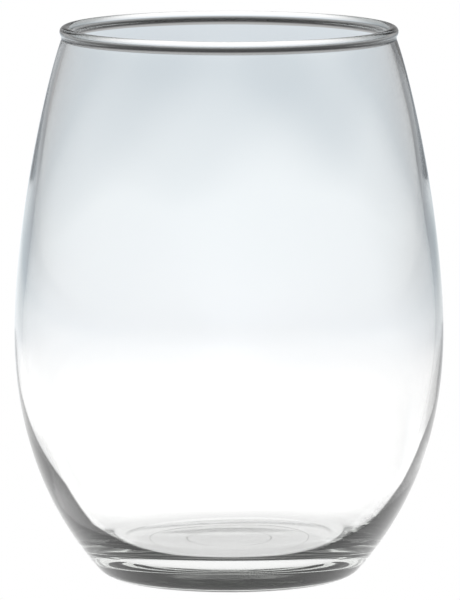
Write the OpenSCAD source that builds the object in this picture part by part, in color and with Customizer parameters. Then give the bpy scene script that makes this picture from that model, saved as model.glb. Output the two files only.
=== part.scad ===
// Stemless wine glass: one piece of clear glass with a rounded bead at the rim and a heavy base.
// The origin is at the centre of the foot, on the surface that the glass stands on, with +Z up.
// All lengths are in millimetres and all angles in degrees.

/* [Overall] */
// Height from the table to the top of the rim
overall_h = 114.3; // [95:0.1:150]
// Outside diameter at the widest part of the bowl
belly_d = 88.9; // [82:0.1:110]
// Height of the widest part above the table
belly_z = 50.4; // [40:0.1:62]

/* [Rim] */
// Outside diameter of the rounded bead round the mouth
rim_d = 69.9; // [60:0.1:80]
// Thickness of the bead
bead_t = 2.2; // [1.8:0.05:3]
// Thickness of the wall just below the bead
rim_wall = 1.25; // [0.9:0.05:1.7]
// Radius of the soft hollow where the bead's outside runs into the wall
bead_blend_r = 1.2; // [0.4:0.05:2]
// Lean of the wall inwards as it comes up to the bead
rim_lean = 19.8; // [10:0.1:28]

/* [Wall and floor] */
// Thickness of the wall at the widest part
belly_wall = 2; // [1.3:0.05:3]
// Height of the inside floor above the table, at its centre
floor_z = 6; // [5:0.1:8]
// How far the nearly flat middle of that floor stays inside the foot's outside
floor_inset = 3.35; // [2.9:0.05:7]
// Rise of that middle from its centre to its edge
floor_dish = 0.1; // [0.05:0.05:0.4]
// Radius of the corner where the floor turns up into the wall
corner_r = 12.5; // [8:0.5:14]
// Slope of the inside where it leaves that corner, up from the table
corner_slope = 43.5; // [32:0.5:46]

/* [Heel and foot] */
// Outside diameter of the flat ring that the glass stands on
foot_d = 46.7; // [44:0.1:52]
// Width of that ring
foot_w = 6.3; // [3:0.1:8]
// Radius of the rounded heel between the foot and the bowl
heel_r = 5.2; // [3:0.1:8]
// Slope of the bowl's outside where it leaves the heel, up from the table
heel_slope = 48.5; // [40:0.5:58]
// Height of the hollow under the foot, at its centre
push_up = 0.5; // [0.4:0.05:1]
// Radius of the rounded step at the edge of that hollow
push_up_r = 0.3; // [0.1:0.05:0.35]
// Diameter of the small round groove in the hollow
groove_d = 18; // [12:0.5:20]
// Radius of that groove's half-round section
groove_r = 0.2; // [0.1:0.05:0.4]

/* [Curves: how far each one holds its starting direction] */
// Outside and inside, up from the widest part, as a share of the rise to the bead
belly_up_share = 0.36; // [0.2:0.01:0.5]
// Outside and inside, down from the bead, as a share of the same rise
rim_share = 0.16; // [0.05:0.01:0.4]
// Outside, up from the heel, as a share of the rise to the widest part
heel_share = 0.26; // [0.1:0.01:0.4]
// Outside, down from the widest part, as a share of the same rise
belly_down_share = 0.49; // [0.3:0.01:0.6]
// Inside, down from the widest part, as a share of the drop to the corner
inner_down_share = 0.4; // [0.3:0.01:0.6]
// Inside, up from the corner, as a share of the same drop
inner_corner_share = 0.27; // [0.1:0.01:0.35]

/* [Hidden] */
$fn = 96;
curve_steps = 28;
arc_step = 7.5;

belly_r = belly_d / 2;
foot_r = foot_d / 2;
floor_r = foot_r - floor_inset;
bead_r = bead_t / 2;
bead_centre = [rim_d / 2 - bead_r, overall_h - bead_r];

// Directions at the rim: down along the leaning wall, and square to it, outwards
wall_down = [sin(rim_lean), -cos(rim_lean)];
wall_out = [cos(rim_lean), sin(rim_lean)];

// The inside of the wall is tangent to the bead; the outside joins it through the hollow blend
blend_out = rim_wall - bead_r + bead_blend_r;
blend_down = sqrt(pow(bead_r + bead_blend_r, 2) - pow(blend_out, 2));
blend_centre = bead_centre + blend_out * wall_out + blend_down * wall_down;
outer_neck = blend_centre - bead_blend_r * wall_out;
inner_neck = bead_centre - bead_r * wall_out;
bead_from_blend = bead_centre - blend_centre;
blend_end = atan2(bead_from_blend[1], bead_from_blend[0]);

// The bowl's outside starts where the rounded heel has turned up to the slope
heel_end = [foot_r + heel_r * sin(heel_slope), heel_r - heel_r * cos(heel_slope)];
outer_rise = outer_neck[1] - belly_z;
lower_rise = belly_z - heel_end[1];

inner_belly = [belly_r - belly_wall, belly_z];
inner_rise = inner_neck[1] - belly_z;

// The floor's middle is a shallow dish, and the corner's arc starts square to the dish's edge
dish_r = dome_radius(floor_r, floor_dish);
dish_turn = asin(floor_r / dish_r);
corner_centre = [floor_r, floor_z + floor_dish] + corner_r * [-sin(dish_turn), cos(dish_turn)];
corner_end = corner_centre + corner_r * [sin(corner_slope), -cos(corner_slope)];
inner_drop = belly_z - corner_end[1];

// The dome of the hollow under the foot, inside its rounded step, with the small groove in it
dome_edge = foot_r - foot_w - push_up_r;
dome_r = dome_radius(dome_edge, push_up - push_up_r);
dome_centre = [0, push_up - dome_r];
groove_turn = acos(groove_d / 2 / dome_r);
groove_centre = dome_centre + dome_r * [cos(groove_turn), sin(groove_turn)];
groove_half = asin(groove_r / dome_r);

// Radius of the arc over a shallow dome of this half width and rise
function dome_radius(half_width, rise) = (half_width * half_width + rise * rise) / (2 * rise);

// Points on a cubic curve from a to d with handles b and c, without the first point
function curve(a, b, c, d) = [
    for (i = [1 : curve_steps])
        let (t = i / curve_steps, s = 1 - t)
            s * s * s * a + 3 * s * s * t * b + 3 * s * t * t * c + t * t * t * d
];

// Points on an arc from one angle to another, with both end points
function arc(centre, radius, from, to) =
    let (steps = ceil(abs(to - from) / arc_step))
        [
            for (i = [0 : steps])
                let (a = from + (to - from) * i / steps)
                    centre + radius * [cos(a), sin(a)]
        ];

// The hollow under the foot, from its centre out to the foot ring
underside = concat(
    arc(dome_centre, dome_r, 90, groove_turn + groove_half),
    arc(groove_centre, groove_r, 180, 0),
    arc(dome_centre, dome_r, groove_turn - groove_half, acos(dome_edge / dome_r)),
    arc([dome_edge, 0], push_up_r, 90, 0)
);

// The outside, from the foot ring round the heel, over the belly and up to the bead
outside = concat(
    arc([foot_r, heel_r], heel_r, -90, heel_slope - 90),
    curve(
        heel_end,
        heel_end + heel_share * lower_rise * [cos(heel_slope), sin(heel_slope)],
        [belly_r, belly_z - belly_down_share * lower_rise],
        [belly_r, belly_z]
    ),
    curve(
        [belly_r, belly_z],
        [belly_r, belly_z + belly_up_share * outer_rise],
        outer_neck + rim_share * outer_rise * wall_down,
        outer_neck
    ),
    arc(blend_centre, bead_blend_r, 180 + rim_lean, blend_end)
);

// The bead, from its outside over the top of the rim to the inside
rim = arc(bead_centre, bead_r, blend_end - 180, 180 + rim_lean);

// The inside, from the bead down the wall and round to the middle of the floor
inside = concat(
    curve(
        inner_neck,
        inner_neck + rim_share * inner_rise * wall_down,
        [inner_belly[0], belly_z + belly_up_share * inner_rise],
        inner_belly
    ),
    curve(
        inner_belly,
        [inner_belly[0], belly_z - inner_down_share * inner_drop],
        corner_end + inner_corner_share * inner_drop * [cos(corner_slope), sin(corner_slope)],
        corner_end
    ),
    arc(corner_centre, corner_r, corner_slope - 90, dish_turn - 90),
    arc([0, floor_z + dish_r], dish_r, dish_turn - 90, -90)
);

module glass() {
    color([0.86, 0.92, 0.92, 0.35])
        rotate_extrude()
            polygon(concat(underside, outside, rim, inside));
}

glass();
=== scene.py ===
import math

import bpy
import numpy as np
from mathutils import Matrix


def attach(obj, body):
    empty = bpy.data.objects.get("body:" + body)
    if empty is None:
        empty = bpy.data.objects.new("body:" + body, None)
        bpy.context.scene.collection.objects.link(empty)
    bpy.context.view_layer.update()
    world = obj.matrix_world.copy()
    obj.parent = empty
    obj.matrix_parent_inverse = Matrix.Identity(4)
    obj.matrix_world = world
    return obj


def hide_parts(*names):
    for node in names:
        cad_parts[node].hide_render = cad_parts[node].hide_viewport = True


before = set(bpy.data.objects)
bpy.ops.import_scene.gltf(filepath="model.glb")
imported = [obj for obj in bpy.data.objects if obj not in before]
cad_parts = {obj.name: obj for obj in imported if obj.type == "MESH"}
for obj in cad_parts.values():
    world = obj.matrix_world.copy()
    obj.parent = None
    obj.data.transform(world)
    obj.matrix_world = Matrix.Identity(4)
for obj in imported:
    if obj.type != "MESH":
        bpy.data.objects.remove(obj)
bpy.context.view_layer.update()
print("frame loaded")

scene = bpy.context.scene

# One closed surface stands for the whole glass, as the real one is a single piece
glass = {
    "height": 0.1143,
    "bellyDiameter": 0.08884,
    "bellyHeight": 0.0504,
    "rimDiameter": 0.0699,
    "beadThickness": 0.0022,
    "rimWall": 0.00125,          # wall just below the bead
    "beadBlend": 0.0012,         # soft hollow under the bead
    "rimLean": 19.8,             # degrees, inwards
    "bellyWall": 0.0018,
    "footDiameter": 0.0467,
    "footWidth": 0.0063,
    "heelRadius": 0.0052,
    "heelSlope": 48.5,           # degrees, up from the table
    "pushUp": 0.00025,            # hollow under the foot
    "pushUpEdge": 0.00008,
    "ringEdge": 0.00003,         # soft inner edge of the ring that it stands on
    "grooveDiameter": 0.018,     # small ring in the hollow
    "grooveRadius": 0.0001,
    "floorHeight": 0.006,
    "floorInset": 0.00335,       # flat middle of the floor, in from the foot's outside
    "floorDish": 0.0001,
    "cornerRadius": 0.0125,
    "cornerSlope": 43.5,
    # how far each curve holds its starting direction, as a share of its rise
    "handles": {
        "bellyUp": 0.36, "rim": 0.16, "heel": 0.26, "bellyDown": 0.49,
        "innerUp": 0.31, "innerDown": 0.40, "innerCorner": 0.27},
    "around": 168,
    # points along each stretch of the profile
    "steps": {
        "dome": 10, "groove": 12, "domeRim": 8, "pushUpEdge": 6, "ringEdge": 6, "ring": 6, "heel": 26,
        "lowerBowl": 80, "upperBowl": 70, "blend": 8, "bead": 34,
        "innerUpper": 70, "innerLower": 90, "corner": 40, "floor": 24},
}

# How far the blown inside strays from a true round
waviness = {
    "side": 0.0003,              # thicker wall low on one side
    "sideHeight": 0.0205,
    "sideSpread": 0.006,
    "ripple": 0.000012,          # height of each of the slow waves
    "waves": 9,
    "fewestRound": 2,            # how often the first wave repeats round the glass
    "waveLengths": (0.03, 0.08), # up the glass
    "fadeRadius": 0.03,          # the floor, inside this, stays true
    "fadePower": 6,
    "seed": 7,
}


def arcRun(centre, radius, start, end, steps):
    # points on an arc, and the direction of travel at each
    a = np.radians(np.linspace(start, end, steps + 1))
    way = math.copysign(1, end - start)
    at = np.array(centre) + radius * np.stack([np.cos(a), np.sin(a)], axis=1)
    return at, way * np.stack([-np.sin(a), np.cos(a)], axis=1)


def curveRun(a, b, c, d, steps):
    # cubic curve: each point weighed by its term of ((1 - t) + t) cubed, and the direction by the terms
    # of the square
    t = np.linspace(0, 1, steps + 1)[:, None]
    a, b, c, d = (np.array(q, dtype=float) for q in (a, b, c, d))
    s = 1 - t
    at = s ** 3 * a + 3 * s ** 2 * t * b + 3 * s * t ** 2 * c + t ** 3 * d
    along = s ** 2 * (b - a) + 2 * s * t * (c - b) + t ** 2 * (d - c)
    return at, along / np.linalg.norm(along, axis=1, keepdims=True)


def lineRun(a, b, steps):
    a, b = np.array(a, dtype=float), np.array(b, dtype=float)
    t = np.linspace(0, 1, steps + 1)[:, None]
    along = (b - a) / np.linalg.norm(b - a)
    return a + (b - a) * t, np.repeat(along[None], steps + 1, axis=0)


def glassRuns(g):
    # half section as runs of (radius, height): under the foot, up the outside, over the rim, down the inside
    share = g["handles"]
    steps = g["steps"]
    belly = g["bellyDiameter"] / 2
    bead = g["beadThickness"] / 2
    lean = math.radians(g["rimLean"])
    down = np.array([math.sin(lean), -math.cos(lean)])
    out = np.array([math.cos(lean), math.sin(lean)])
    beadCentre = np.array([g["rimDiameter"] / 2 - bead, g["height"] - bead])
    blendOut = g["rimWall"] - bead + g["beadBlend"]
    blendDown = math.sqrt((bead + g["beadBlend"]) ** 2 - blendOut ** 2)
    blendCentre = beadCentre + blendOut * out + blendDown * down
    outerNeck = blendCentre - g["beadBlend"] * out
    innerNeck = beadCentre - bead * out
    toBead = beadCentre - blendCentre
    blendEnd = math.degrees(math.atan2(toBead[1], toBead[0]))

    foot = g["footDiameter"] / 2
    slope = math.radians(g["heelSlope"])
    heel = g["heelRadius"]
    heelEnd = np.array([foot + heel * math.sin(slope), heel * (1 - math.cos(slope))])
    rise = outerNeck[1] - g["bellyHeight"]
    climb = g["bellyHeight"] - heelEnd[1]

    ring = foot - g["footWidth"]
    domeEdge = ring - g["pushUpEdge"]
    domeRise = g["pushUp"] - g["pushUpEdge"]
    dome = (domeEdge ** 2 + domeRise ** 2) / (2 * domeRise)
    domeCentre = np.array([0, g["pushUp"] - dome])
    groove = math.degrees(math.acos(g["grooveDiameter"] / 2 / dome))
    grooveTurn = math.radians(groove)
    grooveCentre = domeCentre + dome * np.array([math.cos(grooveTurn), math.sin(grooveTurn)])
    grooveHalf = math.degrees(math.asin(g["grooveRadius"] / dome))
    domeRim = math.degrees(math.acos(domeEdge / dome))
    edge = g["ringEdge"]
    stepEnd = math.degrees(math.asin(edge / g["pushUpEdge"]))
    under = [
        arcRun(domeCentre, dome, 90, groove + grooveHalf, steps["dome"]),
        arcRun(grooveCentre, g["grooveRadius"], 180, 0, steps["groove"]),
        arcRun(domeCentre, dome, groove - grooveHalf, domeRim, steps["domeRim"]),
        arcRun((domeEdge, 0), g["pushUpEdge"], 90, stepEnd, steps["pushUpEdge"])]
    # the small curve that rounds the ring's inner edge starts where the hollow's step leaves off
    last = under[-1][0][-1]
    nearEdge = (last[0], edge * 0.4)
    nearFlat = (last[0] + edge * 0.6, 0)
    flatFrom = (last[0] + edge * 1.6, 0)
    under.append(curveRun(last, nearEdge, nearFlat, flatFrom, steps["ringEdge"]))
    under.append(lineRun(flatFrom, (foot, 0), steps["ring"]))
    outside = [
        arcRun((foot, heel), heel, -90, g["heelSlope"] - 90, steps["heel"]),
        curveRun(
            heelEnd,
            heelEnd + share["heel"] * climb * np.array([math.cos(slope), math.sin(slope)]),
            (belly, g["bellyHeight"] - share["bellyDown"] * climb),
            (belly, g["bellyHeight"]), steps["lowerBowl"]),
        curveRun(
            (belly, g["bellyHeight"]),
            (belly, g["bellyHeight"] + share["bellyUp"] * rise),
            outerNeck + share["rim"] * rise * down,
            outerNeck, steps["upperBowl"]),
        arcRun(blendCentre, g["beadBlend"], 180 + g["rimLean"], blendEnd, steps["blend"])]
    rim = [arcRun(beadCentre, bead, blendEnd - 180, 180 + g["rimLean"], steps["bead"])]

    innerBelly = np.array([belly - g["bellyWall"], g["bellyHeight"]])
    innerRise = innerNeck[1] - g["bellyHeight"]
    flat = foot - g["floorInset"]
    dish = (flat ** 2 + g["floorDish"] ** 2) / (2 * g["floorDish"])
    tilt = math.asin(flat / dish)
    square = np.array([-math.sin(tilt), math.cos(tilt)])
    cornerCentre = np.array([flat, g["floorHeight"] + g["floorDish"]]) + g["cornerRadius"] * square
    level = math.degrees(tilt) - 90
    corner = arcRun(cornerCentre, g["cornerRadius"], g["cornerSlope"] - 90, level, steps["corner"])
    cornerEnd = corner[0][0]
    drop = g["bellyHeight"] - cornerEnd[1]
    turn = math.radians(g["cornerSlope"])
    inside = [
        curveRun(
            innerNeck,
            innerNeck + share["rim"] * innerRise * down,
            (innerBelly[0], g["bellyHeight"] + share["innerUp"] * innerRise),
            innerBelly, steps["innerUpper"]),
        curveRun(
            innerBelly,
            (innerBelly[0], g["bellyHeight"] - share["innerDown"] * drop),
            cornerEnd + share["innerCorner"] * drop * np.array([math.cos(turn), math.sin(turn)]),
            cornerEnd, steps["innerLower"]),
        corner,
        arcRun((0, g["floorHeight"] + dish), dish, level, -90, steps["floor"])]
    return under + outside + rim, inside


def strayInside(r, z, turn, w):
    # slow waves round and up the inside, each a cosine round times a cosine up, faded out over the floor,
    # plus a wall that is thicker low on one side; also how it changes with height and round the glass
    fade = 1 - np.exp(-(r / w["fadeRadius"]) ** w["fadePower"])
    stray = np.zeros(np.broadcast(r, turn).shape)
    byHeight = stray.copy()
    byTurn = stray.copy()
    draws = np.random.default_rng(w["seed"])
    for n in range(w["waves"]):
        k = w["fewestRound"] + n
        up = 2 * math.pi / draws.uniform(*w["waveLengths"])
        a, b = draws.uniform(0, 2 * math.pi, 2)
        across, high = np.cos(k * turn + a), np.cos(up * z + b)
        stray = stray + w["ripple"] * across * high
        byHeight = byHeight - w["ripple"] * up * across * np.sin(up * z + b)
        byTurn = byTurn - w["ripple"] * k * np.sin(k * turn + a) * high
    lift = (z - w["sideHeight"]) / w["sideSpread"]
    bulge = w["side"] * np.exp(-lift ** 2)
    stray = stray + bulge * np.cos(turn)
    byHeight = byHeight - bulge * 2 * lift / w["sideSpread"] * np.cos(turn)
    byTurn = byTurn - bulge * np.sin(turn)
    return stray * fade, byHeight * fade, byTurn * fade


def revolve(name, outer, inner, around, w):
    # the runs turned about Z, closed by one point at each pole, each corner with its normal from the
    # formulas, so that the flats stay flat and the curves stay smooth for the light that they bend
    runs = outer + inner
    start = np.concatenate([at[:-1] for at, along in runs])
    stop = np.concatenate([at[1:] for at, along in runs])
    way0 = np.concatenate([along[:-1] for at, along in runs])
    way1 = np.concatenate([along[1:] for at, along in runs])
    isInner = np.concatenate([np.full(len(at) - 1, n >= len(outer)) for n, (at, along) in enumerate(runs)])
    turn = np.arange(around) * 2 * math.pi / around
    cos, sin = np.cos(turn)[None], np.sin(turn)[None]

    def corner(at, along):
        r, z = at[:, 0, None], at[:, 1, None]
        stray, byHeight, byTurn = (q * isInner[:, None] for q in strayInside(r, z, turn[None], w))
        a = along[:, 0, None] + byHeight * along[:, 1, None]
        b = along[:, 1, None] + 0 * a
        c = -byTurn * b / np.maximum(r + stray, 1e-6)
        co = np.stack([(r + stray) * cos, (r + stray) * sin, z + 0 * stray], axis=2)
        normal = np.stack([b * cos - c * sin, b * sin + c * cos, -a], axis=2)
        return co, normal / np.linalg.norm(normal, axis=2, keepdims=True)

    co0, normal0 = corner(start, way0)
    co1, normal1 = corner(stop, way1)
    rings = co1[:-1]
    co = np.concatenate([rings.reshape(-1, 3), [[0, 0, start[0, 1]], [0, 0, stop[-1, 1]]]])
    i, j = np.meshgrid(np.arange(len(rings) - 1), np.arange(around), indexing="ij")
    k = (j + 1) % around
    quads = np.stack([i * around + j, i * around + k, (i + 1) * around + k, (i + 1) * around + j], axis=2)
    n = np.arange(around)
    m = (n + 1) % around
    last = (len(rings) - 1) * around
    low = np.stack([np.full(around, len(co) - 2), m, n], axis=1)
    high = np.stack([np.full(around, len(co) - 1), last + n, last + m], axis=1)
    quadNormals = np.stack([normal0[1:-1], normal0[1:-1][:, m], normal1[1:-1][:, m], normal1[1:-1]], axis=2)
    lowNormals = np.stack([normal0[0], normal1[0][m], normal1[0]], axis=1)
    highNormals = np.stack([normal1[-1], normal0[-1], normal0[-1][m]], axis=1)
    normals = np.concatenate([q.reshape(-1, 3) for q in (quadNormals, lowNormals, highNormals)])
    mesh = bpy.data.meshes.new(name)
    mesh.from_pydata(co.tolist(), [], quads.reshape(-1, 4).tolist() + low.tolist() + high.tolist())
    mesh.polygons.foreach_set("use_smooth", np.ones(len(mesh.polygons), dtype=bool))
    mesh.update()
    mesh.normals_split_custom_set(normals.tolist())
    # 1 on the outside and the underside, 0 on the inside
    isOuter = np.concatenate([np.repeat(~isInner[:-1], around), [True, False]])
    mesh.attributes.new("outerWall", "FLOAT", "POINT").data.foreach_set("value", isOuter.astype(np.float32))
    made = bpy.data.objects.new(name, mesh)
    scene.collection.objects.link(made)
    return made


body = revolve("glassBody", *glassRuns(glass), glass["around"], waviness)
print("glass shaped:", len(body.data.polygons), "faces")

look = {
    "ior": 1.52,
    "absorbColour": (0.77, 0.78, 0.765, 1),
    "absorbDensity": 42.0,       # per metre, so that only the long ways through the base go grey
    # painted shade: a dark band is painted at a slant on the thick low wall: where that dark band ends, by
    # height in mm, as the cosine of the slant, and how much light is left across it, from the outline inwards
    "shadeBandEnd": [(0, 0), (8.4, 0), (9.4, 0.62), (14, 0.45), (22, 0.38), (30, 0.28), (40, 0.15), (60, 0.1)],
    "shadeBandTone": [(0, 0.8), (0.15, 0.25), (0.4, 0.08), (0.7, 0.03), (1, 0.01)],
    # the painted shade band is wider on -X, by this much cosine per metre, by height in mm
    "shadeBandLean": [(0, 0), (12, 0.3), (22, 1.4), (30, 0.1), (60, 0)],
    "shadeBandSoft": 0.014,
    "shadeBandFoot": (8.4, 9.2),      # mm, where the painted shade band comes in and where it goes out
    "shadeBandTop": (58.0, 40.0),
    "shadeBandNarrowest": 0.05,
    # painted shade: the colour of the dark line painted under the bead
    "beadShade": (0.27, 0.29, 0.29, 1),
    "beadLow": (112.1, 112.4),   # mm, the painted dark line of shade along the underside of the bead
    "beadHigh": (113.2, 112.9),
    "floorLow": (5.0, 5.5),      # mm, the mottled inside of the floor
    "floorHigh": (8.5, 6.8),
    "floorReach": (0.024, 0.019),
    "mottleSize": 0.0035,
    "mottleDepth": 0.00002,
    "ringHigh": (0.12, 0.02),    # mm, the worn ring that the glass stands on
    "ringReach": (0.0165, 0.0175),
    "wearSize": 0.004,
    "wearSpots": (0.52, 0.72),   # of the noise, from clear glass to worn
    "wearRough": 0.06,
}


def fillRamp(ramp, stops, low, high):
    # ramps run from 0 to 1, so places are moved onto that range
    els = ramp.color_ramp.elements
    while len(els) > 1:
        els.remove(els[-1])
    for n, (place, colour) in enumerate(stops):
        at = (place - low) / (high - low)
        e = els[0] if n == 0 else els.new(at)
        e.position = at
        e.color = (*colour, 1) if isinstance(colour, tuple) else (colour, colour, colour, 1)


class NodeMaker:
    # short calls for building a node tree
    def __init__(self, tree):
        self.nodes = tree.nodes
        self.links = tree.links

    def put(self, socket, value):
        if isinstance(value, bpy.types.NodeSocket):
            self.links.new(value, socket)
        else:
            socket.default_value = value

    def math(self, what, a, b=0.0):
        n = self.nodes.new("ShaderNodeMath")
        n.operation = what
        self.put(n.inputs[0], a)
        self.put(n.inputs[1], b)
        return n.outputs[0]

    def both(self, a, b):
        # one mask or value within another
        return self.math("MULTIPLY", a, b)

    def step(self, value, low, high):
        # smooth step from 0 at one level of the value to 1 at the other
        n = self.nodes.new("ShaderNodeMapRange")
        n.interpolation_type = "SMOOTHSTEP"
        for name, v in (("Value", value), ("From Min", low), ("From Max", high)):
            self.put(n.inputs[name], v)
        return n.outputs["Result"]

    def ramp(self, value, stops, low, high):
        # value is moved onto the ramp's 0 to 1
        n = self.nodes.new("ShaderNodeValToRGB")
        fillRamp(n, stops, low, high)
        self.links.new(self.math("DIVIDE", self.math("SUBTRACT", value, low), high - low), n.inputs[0])
        return n.outputs["Color"]

    def mix(self, factor, a, b, how="MIX"):
        n = self.nodes.new("ShaderNodeMix")
        n.data_type = "RGBA"
        n.blend_type = how
        self.put(n.inputs["Factor"], factor)
        self.put(n.inputs["A"], a)
        self.put(n.inputs["B"], b)
        return n.outputs["Result"]

    def noise(self, place, size, detail):
        # size is about how far apart its spots lie
        n = self.nodes.new("ShaderNodeTexNoise")
        n.inputs["Scale"].default_value = 1 / size
        n.inputs["Detail"].default_value = detail
        self.links.new(place, n.inputs["Vector"])
        return n.outputs["Fac"]

    def place(self):
        # object coordinates, with their parts and the distance from the axis
        at = self.nodes.new("ShaderNodeTexCoord").outputs["Object"]
        split = self.nodes.new("ShaderNodeSeparateXYZ")
        self.links.new(at, split.inputs[0])
        x, y, z = split.outputs
        across = self.math("SQRT", self.math("ADD", self.math("MULTIPLY", x, x), self.math("MULTIPLY", y, y)))
        return at, x, y, z, across


def glassMaterial():
    mat = bpy.data.materials.new("clearGlass")
    mat.use_nodes = True
    make = NodeMaker(mat.node_tree)
    shader = make.nodes["Principled BSDF"]
    at, x, y, z, across = make.place()

    # the painted shade band: slant against where it ends at this height and side, on the outside only
    slant = make.math("SUBTRACT", 1.0, make.nodes.new("ShaderNodeLayerWeight").outputs["Facing"])
    tall = make.math("MULTIPLY", z, 1000.0)
    lean = make.math("MULTIPLY", x, make.ramp(tall, look["shadeBandLean"], 0, 60))
    end = make.math("SUBTRACT", make.ramp(tall, look["shadeBandEnd"], 0, 60), lean)
    isLow = make.both(make.step(tall, *look["shadeBandFoot"]), make.step(tall, *look["shadeBandTop"]))
    soft = look["shadeBandSoft"]
    inShadeBand = make.step(slant, make.math("ADD", end, soft), make.math("SUBTRACT", end, soft))
    place01 = make.math("DIVIDE", slant, make.math("MAXIMUM", end, look["shadeBandNarrowest"]))
    light = make.ramp(place01, look["shadeBandTone"], 0, 1)
    isOuter = make.nodes.new("ShaderNodeAttribute")
    isOuter.attribute_name = "outerWall"
    inShadeBand = make.both(inShadeBand, make.math("GREATER_THAN", isOuter.outputs["Fac"], 0.5))
    # the band's painted shade darkens the base colour
    bandShade = make.mix(make.both(inShadeBand, isLow), (1, 1, 1, 1), light)

    # painted shade: a dark line is painted along the underside of the rim's bead
    beadShadeMask = make.both(make.step(tall, *look["beadLow"]), make.step(tall, *look["beadHigh"]))
    make.links.new(make.mix(beadShadeMask, bandShade, look["beadShade"]), shader.inputs["Base Color"])

    # the floor's inside is a little mottled, and the ring that the glass stands on is worn
    floorBand = make.both(make.step(tall, *look["floorLow"]), make.step(across, *look["floorReach"]))
    isFloor = make.both(make.step(tall, *look["floorHigh"]), floorBand)
    bump = make.nodes.new("ShaderNodeBump")
    bump.inputs["Strength"].default_value = 1.0
    bump.inputs["Distance"].default_value = look["mottleDepth"]
    make.links.new(make.both(make.noise(at, look["mottleSize"], 3), isFloor), bump.inputs["Height"])
    make.links.new(bump.outputs["Normal"], shader.inputs["Normal"])
    isRing = make.both(make.step(tall, *look["ringHigh"]), make.step(across, *look["ringReach"]))
    spots = make.step(make.noise(at, look["wearSize"], 4), *look["wearSpots"])
    worn = make.math("MULTIPLY", spots, look["wearRough"])
    make.links.new(make.both(worn, isRing), shader.inputs["Roughness"])

    shader.inputs["IOR"].default_value = look["ior"]
    shader.inputs["Transmission Weight"].default_value = 1.0
    absorb = make.nodes.new("ShaderNodeVolumeAbsorption")
    absorb.inputs["Color"].default_value = look["absorbColour"]
    absorb.inputs["Density"].default_value = look["absorbDensity"]
    make.links.new(absorb.outputs["Volume"], make.nodes["Material Output"].inputs["Volume"])
    return mat


body.data.materials.append(glassMaterial())
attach(body, "root")
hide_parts("glass")
print("glass finished")

stage = {
    "floorRadius": 3.0,
    "floorSides": 96,
    "floorDrop": 0.0002,         # kept just under the foot, so that the two never share a plane
    # brightness of the table that the glass bends into view, by distance in metres: white near by, bluish
    # further off and grey beyond, and dark at the foot's edge, where the glass shades the table
    "table": [
        (0.0, 1.1), (0.025, 1.1), (0.026, 0.06), (0.030, 0.06), (0.031, 1.1), (0.034, 1.25), (0.2, 1.22),
        (0.4, (1.0, 1.03, 1.06)), (0.65, (0.97, 1.02, 1.05)), (0.85, (0.68, 0.75, 0.80)),
        (1.2, (0.6, 0.64, 0.68)), (2.0, (0.38, 0.40, 0.42))],
    # the same, times this across the table, by the sine of the turn from straight ahead
    "tableSide": [
        (-1, 0.7), (-0.45, 0.75), (-0.15, 0.97), (0, 1.0), (0.1, 0.97), (0.26, 0.73), (0.45, 0.62), (1, 0.7)],
    "sideFrom": 0.6,             # metres, nearer than this the sides fade out
    # brightness of the room above the table, by height angle in degrees
    "room": [(-10, 0.44), (4, 0.4), (10, 0.28), (14, 0.09), (30, 0.04), (90, 0.04)],
}


def stageMaterial():
    mat = bpy.data.materials.new("litTable")
    mat.use_nodes = True
    mat.node_tree.nodes.clear()
    make = NodeMaker(mat.node_tree)
    at, x, y, z, across = make.place()
    far = make.ramp(across, stage["table"], 0, 2)
    turned = make.math("DIVIDE", x, make.math("MAXIMUM", across, stage["sideFrom"]))
    side = make.ramp(turned, stage["tableSide"], -1, 1)
    # straight from the camera the table is plain white
    seen = make.nodes.new("ShaderNodeLightPath").outputs["Is Camera Ray"]
    tone = make.mix(seen, make.mix(1.0, far, side, "MULTIPLY"), (1, 1, 1, 1))
    glow = make.nodes.new("ShaderNodeEmission")
    output = make.nodes.new("ShaderNodeOutputMaterial")
    make.links.new(tone, glow.inputs["Color"])
    make.links.new(glow.outputs[0], output.inputs["Surface"])
    return mat


def roomWorld():
    world = bpy.data.worlds.new("room")
    scene.world = world
    world.use_nodes = True
    make = NodeMaker(world.node_tree)
    split = make.nodes.new("ShaderNodeSeparateXYZ")
    make.links.new(make.nodes.new("ShaderNodeTexCoord").outputs["Generated"], split.inputs[0])
    angle = make.math("DEGREES", make.math("ARCSINE", split.outputs["Z"]))
    seen = make.nodes.new("ShaderNodeLightPath").outputs["Is Camera Ray"]
    lit = make.mix(seen, make.ramp(angle, stage["room"], -10, 90), (1, 1, 1, 1))
    make.links.new(lit, make.nodes["Background"].inputs["Color"])


def tableTop():
    sides = stage["floorSides"]
    a = np.arange(sides) * 2 * math.pi / sides
    r = stage["floorRadius"]
    co = np.stack([r * np.cos(a), r * np.sin(a), np.full(sides, -stage["floorDrop"])], axis=1)
    mesh = bpy.data.meshes.new("tableTop")
    mesh.from_pydata(co.tolist(), [], [list(range(sides))])
    made = bpy.data.objects.new("tableTop", mesh)
    scene.collection.objects.link(made)
    made.data.materials.append(stageMaterial())


tableTop()
roomWorld()

shot = {
    "place": (0.0002, -1.6, 0.265),
    "down": 7.394,               # degrees
    "lens": 467.6,               # mm, on a sensor this wide
    "sensor": 36,
    "farEnd": 50,
    "bounces": 40,               # the light turns many times inside the base
    "mirrorBounces": 24,
}
camData = bpy.data.cameras.new("camera")
camData.sensor_width = shot["sensor"]
camData.lens = shot["lens"]
camData.clip_end = shot["farEnd"]
camera = bpy.data.objects.new("camera", camData)
camera.location = shot["place"]
camera.rotation_euler = (math.radians(90 - shot["down"]), 0, 0)
scene.collection.objects.link(camera)
scene.camera = camera

scene.view_settings.view_transform = "Standard"
scene.cycles.max_bounces = shot["bounces"]
scene.cycles.transmission_bounces = shot["bounces"]
scene.cycles.glossy_bounces = shot["mirrorBounces"]
scene.cycles.caustics_refractive = True
scene.cycles.caustics_reflective = True
scene.cycles.blur_glossy = 0
print("stage and camera set")
